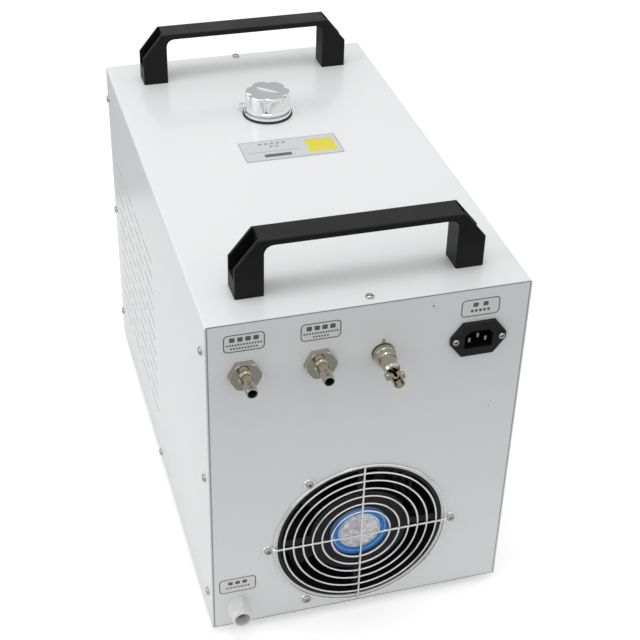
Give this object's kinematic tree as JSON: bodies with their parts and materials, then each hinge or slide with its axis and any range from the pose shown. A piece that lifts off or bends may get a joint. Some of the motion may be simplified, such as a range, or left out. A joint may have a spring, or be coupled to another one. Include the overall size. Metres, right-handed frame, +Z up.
{
  "type": "water chiller",
  "caption": "Bench-top recirculating water chiller: white sheet-steel case with bridge handles, filler cap, hose ports, alarm plug, power inlet, drain and a guarded fan on the rear wall.",
  "frame": {"origin": "on the ground below the middle of the whole outline", "axes": "+X across the case towards the return port, +Y out of the rear wall with the ports and the fan, +Z up"},
  "size_m": [0.2746, 0.5172, 0.3897],
  "materials": {
    "white_coat": "gloss white coat on sheet steel",
    "black_rubber": "matte black",
    "grey_rubber": "matte grey",
    "bright_steel": "bright zinc plate",
    "dark_steel": "dark coat",
    "black_nylon": "satin black nylon",
    "black_moulding": "satin black",
    "white_moulding": "white moulded",
    "clear_nylon": "translucent",
    "label_film": "pale sticker",
    "plate_film": "pale blue-grey sticker",
    "label_blue": "blue and silver disc",
    "nickel_plate": "polished nickel plate on brass",
    "chrome_plate": "bright chrome plate, satin on top",
    "black_cast": "black coated casting",
    "smoked_pane": "dark tinted window",
    "green_board": "green coated board",
    "tank_plastic": "natural polyethylene",
    "fin_aluminium": "plain fins",
    "copper_tube": "plain copper tube",
    "clear_hose": "milky silicone hose"
  },
  "bodies": {
    "case": {"chassis": "white_coat", "cover": "white_coat", "rubber_feet": "black_rubber", "foot_screws": "bright_steel", "cover_screws": "bright_steel", "handle_rear": "black_nylon", "handle_front": "black_nylon", "handle_bolts": "dark_steel", "handle_nuts": "bright_steel", "filler_gasket": "black_rubber", "filler_neck": "chrome_plate", "neck_nut": "black_moulding", "cap_strap": "clear_nylon", "port_labels": "label_film", "top_label": "plate_film", "return_fitting": "nickel_plate", "outlet_fitting": "nickel_plate", "port_nuts": "nickel_plate", "alarm_washer": "bright_steel", "alarm_socket": "nickel_plate", "alarm_nut": "nickel_plate", "power_inlet": "black_moulding", "inlet_pins": "nickel_plate", "inlet_screws": "bright_steel", "drain_spout": "white_moulding", "drain_nut": "white_moulding", "fan_frame": "black_cast", "fan_motor": "dark_steel", "fan_label": "label_blue", "finger_guard": "bright_steel", "guard_screws": "bright_steel", "display_bezel": "black_moulding", "display_window": "smoked_pane", "switch_frame": "black_moulding", "control_board": "green_board", "tank_shelf": "bright_steel", "water_tank": "tank_plastic", "float_stem": "white_moulding", "pump_head": "black_moulding", "pump_motor": "dark_steel", "pump_bracket": "black_rubber", "radiator_core": "fin_aluminium", "radiator_plates": "fin_aluminium", "radiator_tubes": "copper_tube", "return_hose": "clear_hose", "radiator_hose": "clear_hose", "tank_hose": "clear_hose", "supply_hose": "clear_hose", "drain_hose": "clear_hose"},
    "rotor": {"fan_rotor": "black_moulding"},
    "cap_hold": {"cap_seal": "black_rubber"},
    "cap": {"filler_cap": "chrome_plate"},
    "alarm_plug": {"plug_shell": "nickel_plate", "cable_clamp": "nickel_plate", "clamp_screws": "bright_steel"},
    "plug_ring": {"coupling_ring": "nickel_plate"},
    "rocker": {"switch_rocker": "black_moulding"},
    "float": {"float_ring": "white_moulding"},
    "stopper": {"drain_stopper": "grey_rubber"}
  },
  "joints": [
    {"name": "fan_spin", "type": "hinge", "parent": "case", "child": "rotor", "pos_m": [0, 0.18155, 0.092], "axis": [0, 1, 0], "continuous": true},
    {"name": "cap_lift", "type": "slide", "parent": "case", "child": "cap_hold", "axis": [0, 0, 1], "range_m": [0, 0.045]},
    {"name": "cap_turn", "type": "hinge", "parent": "cap_hold", "child": "cap", "pos_m": [0, -0.11645, 0.353], "axis": [0, 0, 1], "range_deg": [0, 90]},
    {"name": "plug_pull", "type": "slide", "parent": "case", "child": "alarm_plug", "axis": [0, 1, 0], "range_m": [0, 0.03]},
    {"name": "ring_turn", "type": "hinge", "parent": "alarm_plug", "child": "plug_ring", "pos_m": [-0.0105, 0.22455, 0.289], "axis": [0, 1, 0], "continuous": true},
    {"name": "rocker_tilt", "type": "hinge", "parent": "case", "child": "rocker", "pos_m": [0.088, -0.24995, 0.068], "axis": [1, 0, 0], "range_deg": [-20, 0]},
    {"name": "float_lift", "type": "slide", "parent": "case", "child": "float", "axis": [0, 0, 1], "range_m": [0, 0.012]},
    {"name": "stopper_pull", "type": "slide", "parent": "case", "child": "stopper", "axis": [0, 1, 0], "range_m": [0, 0.03]}
  ]
}
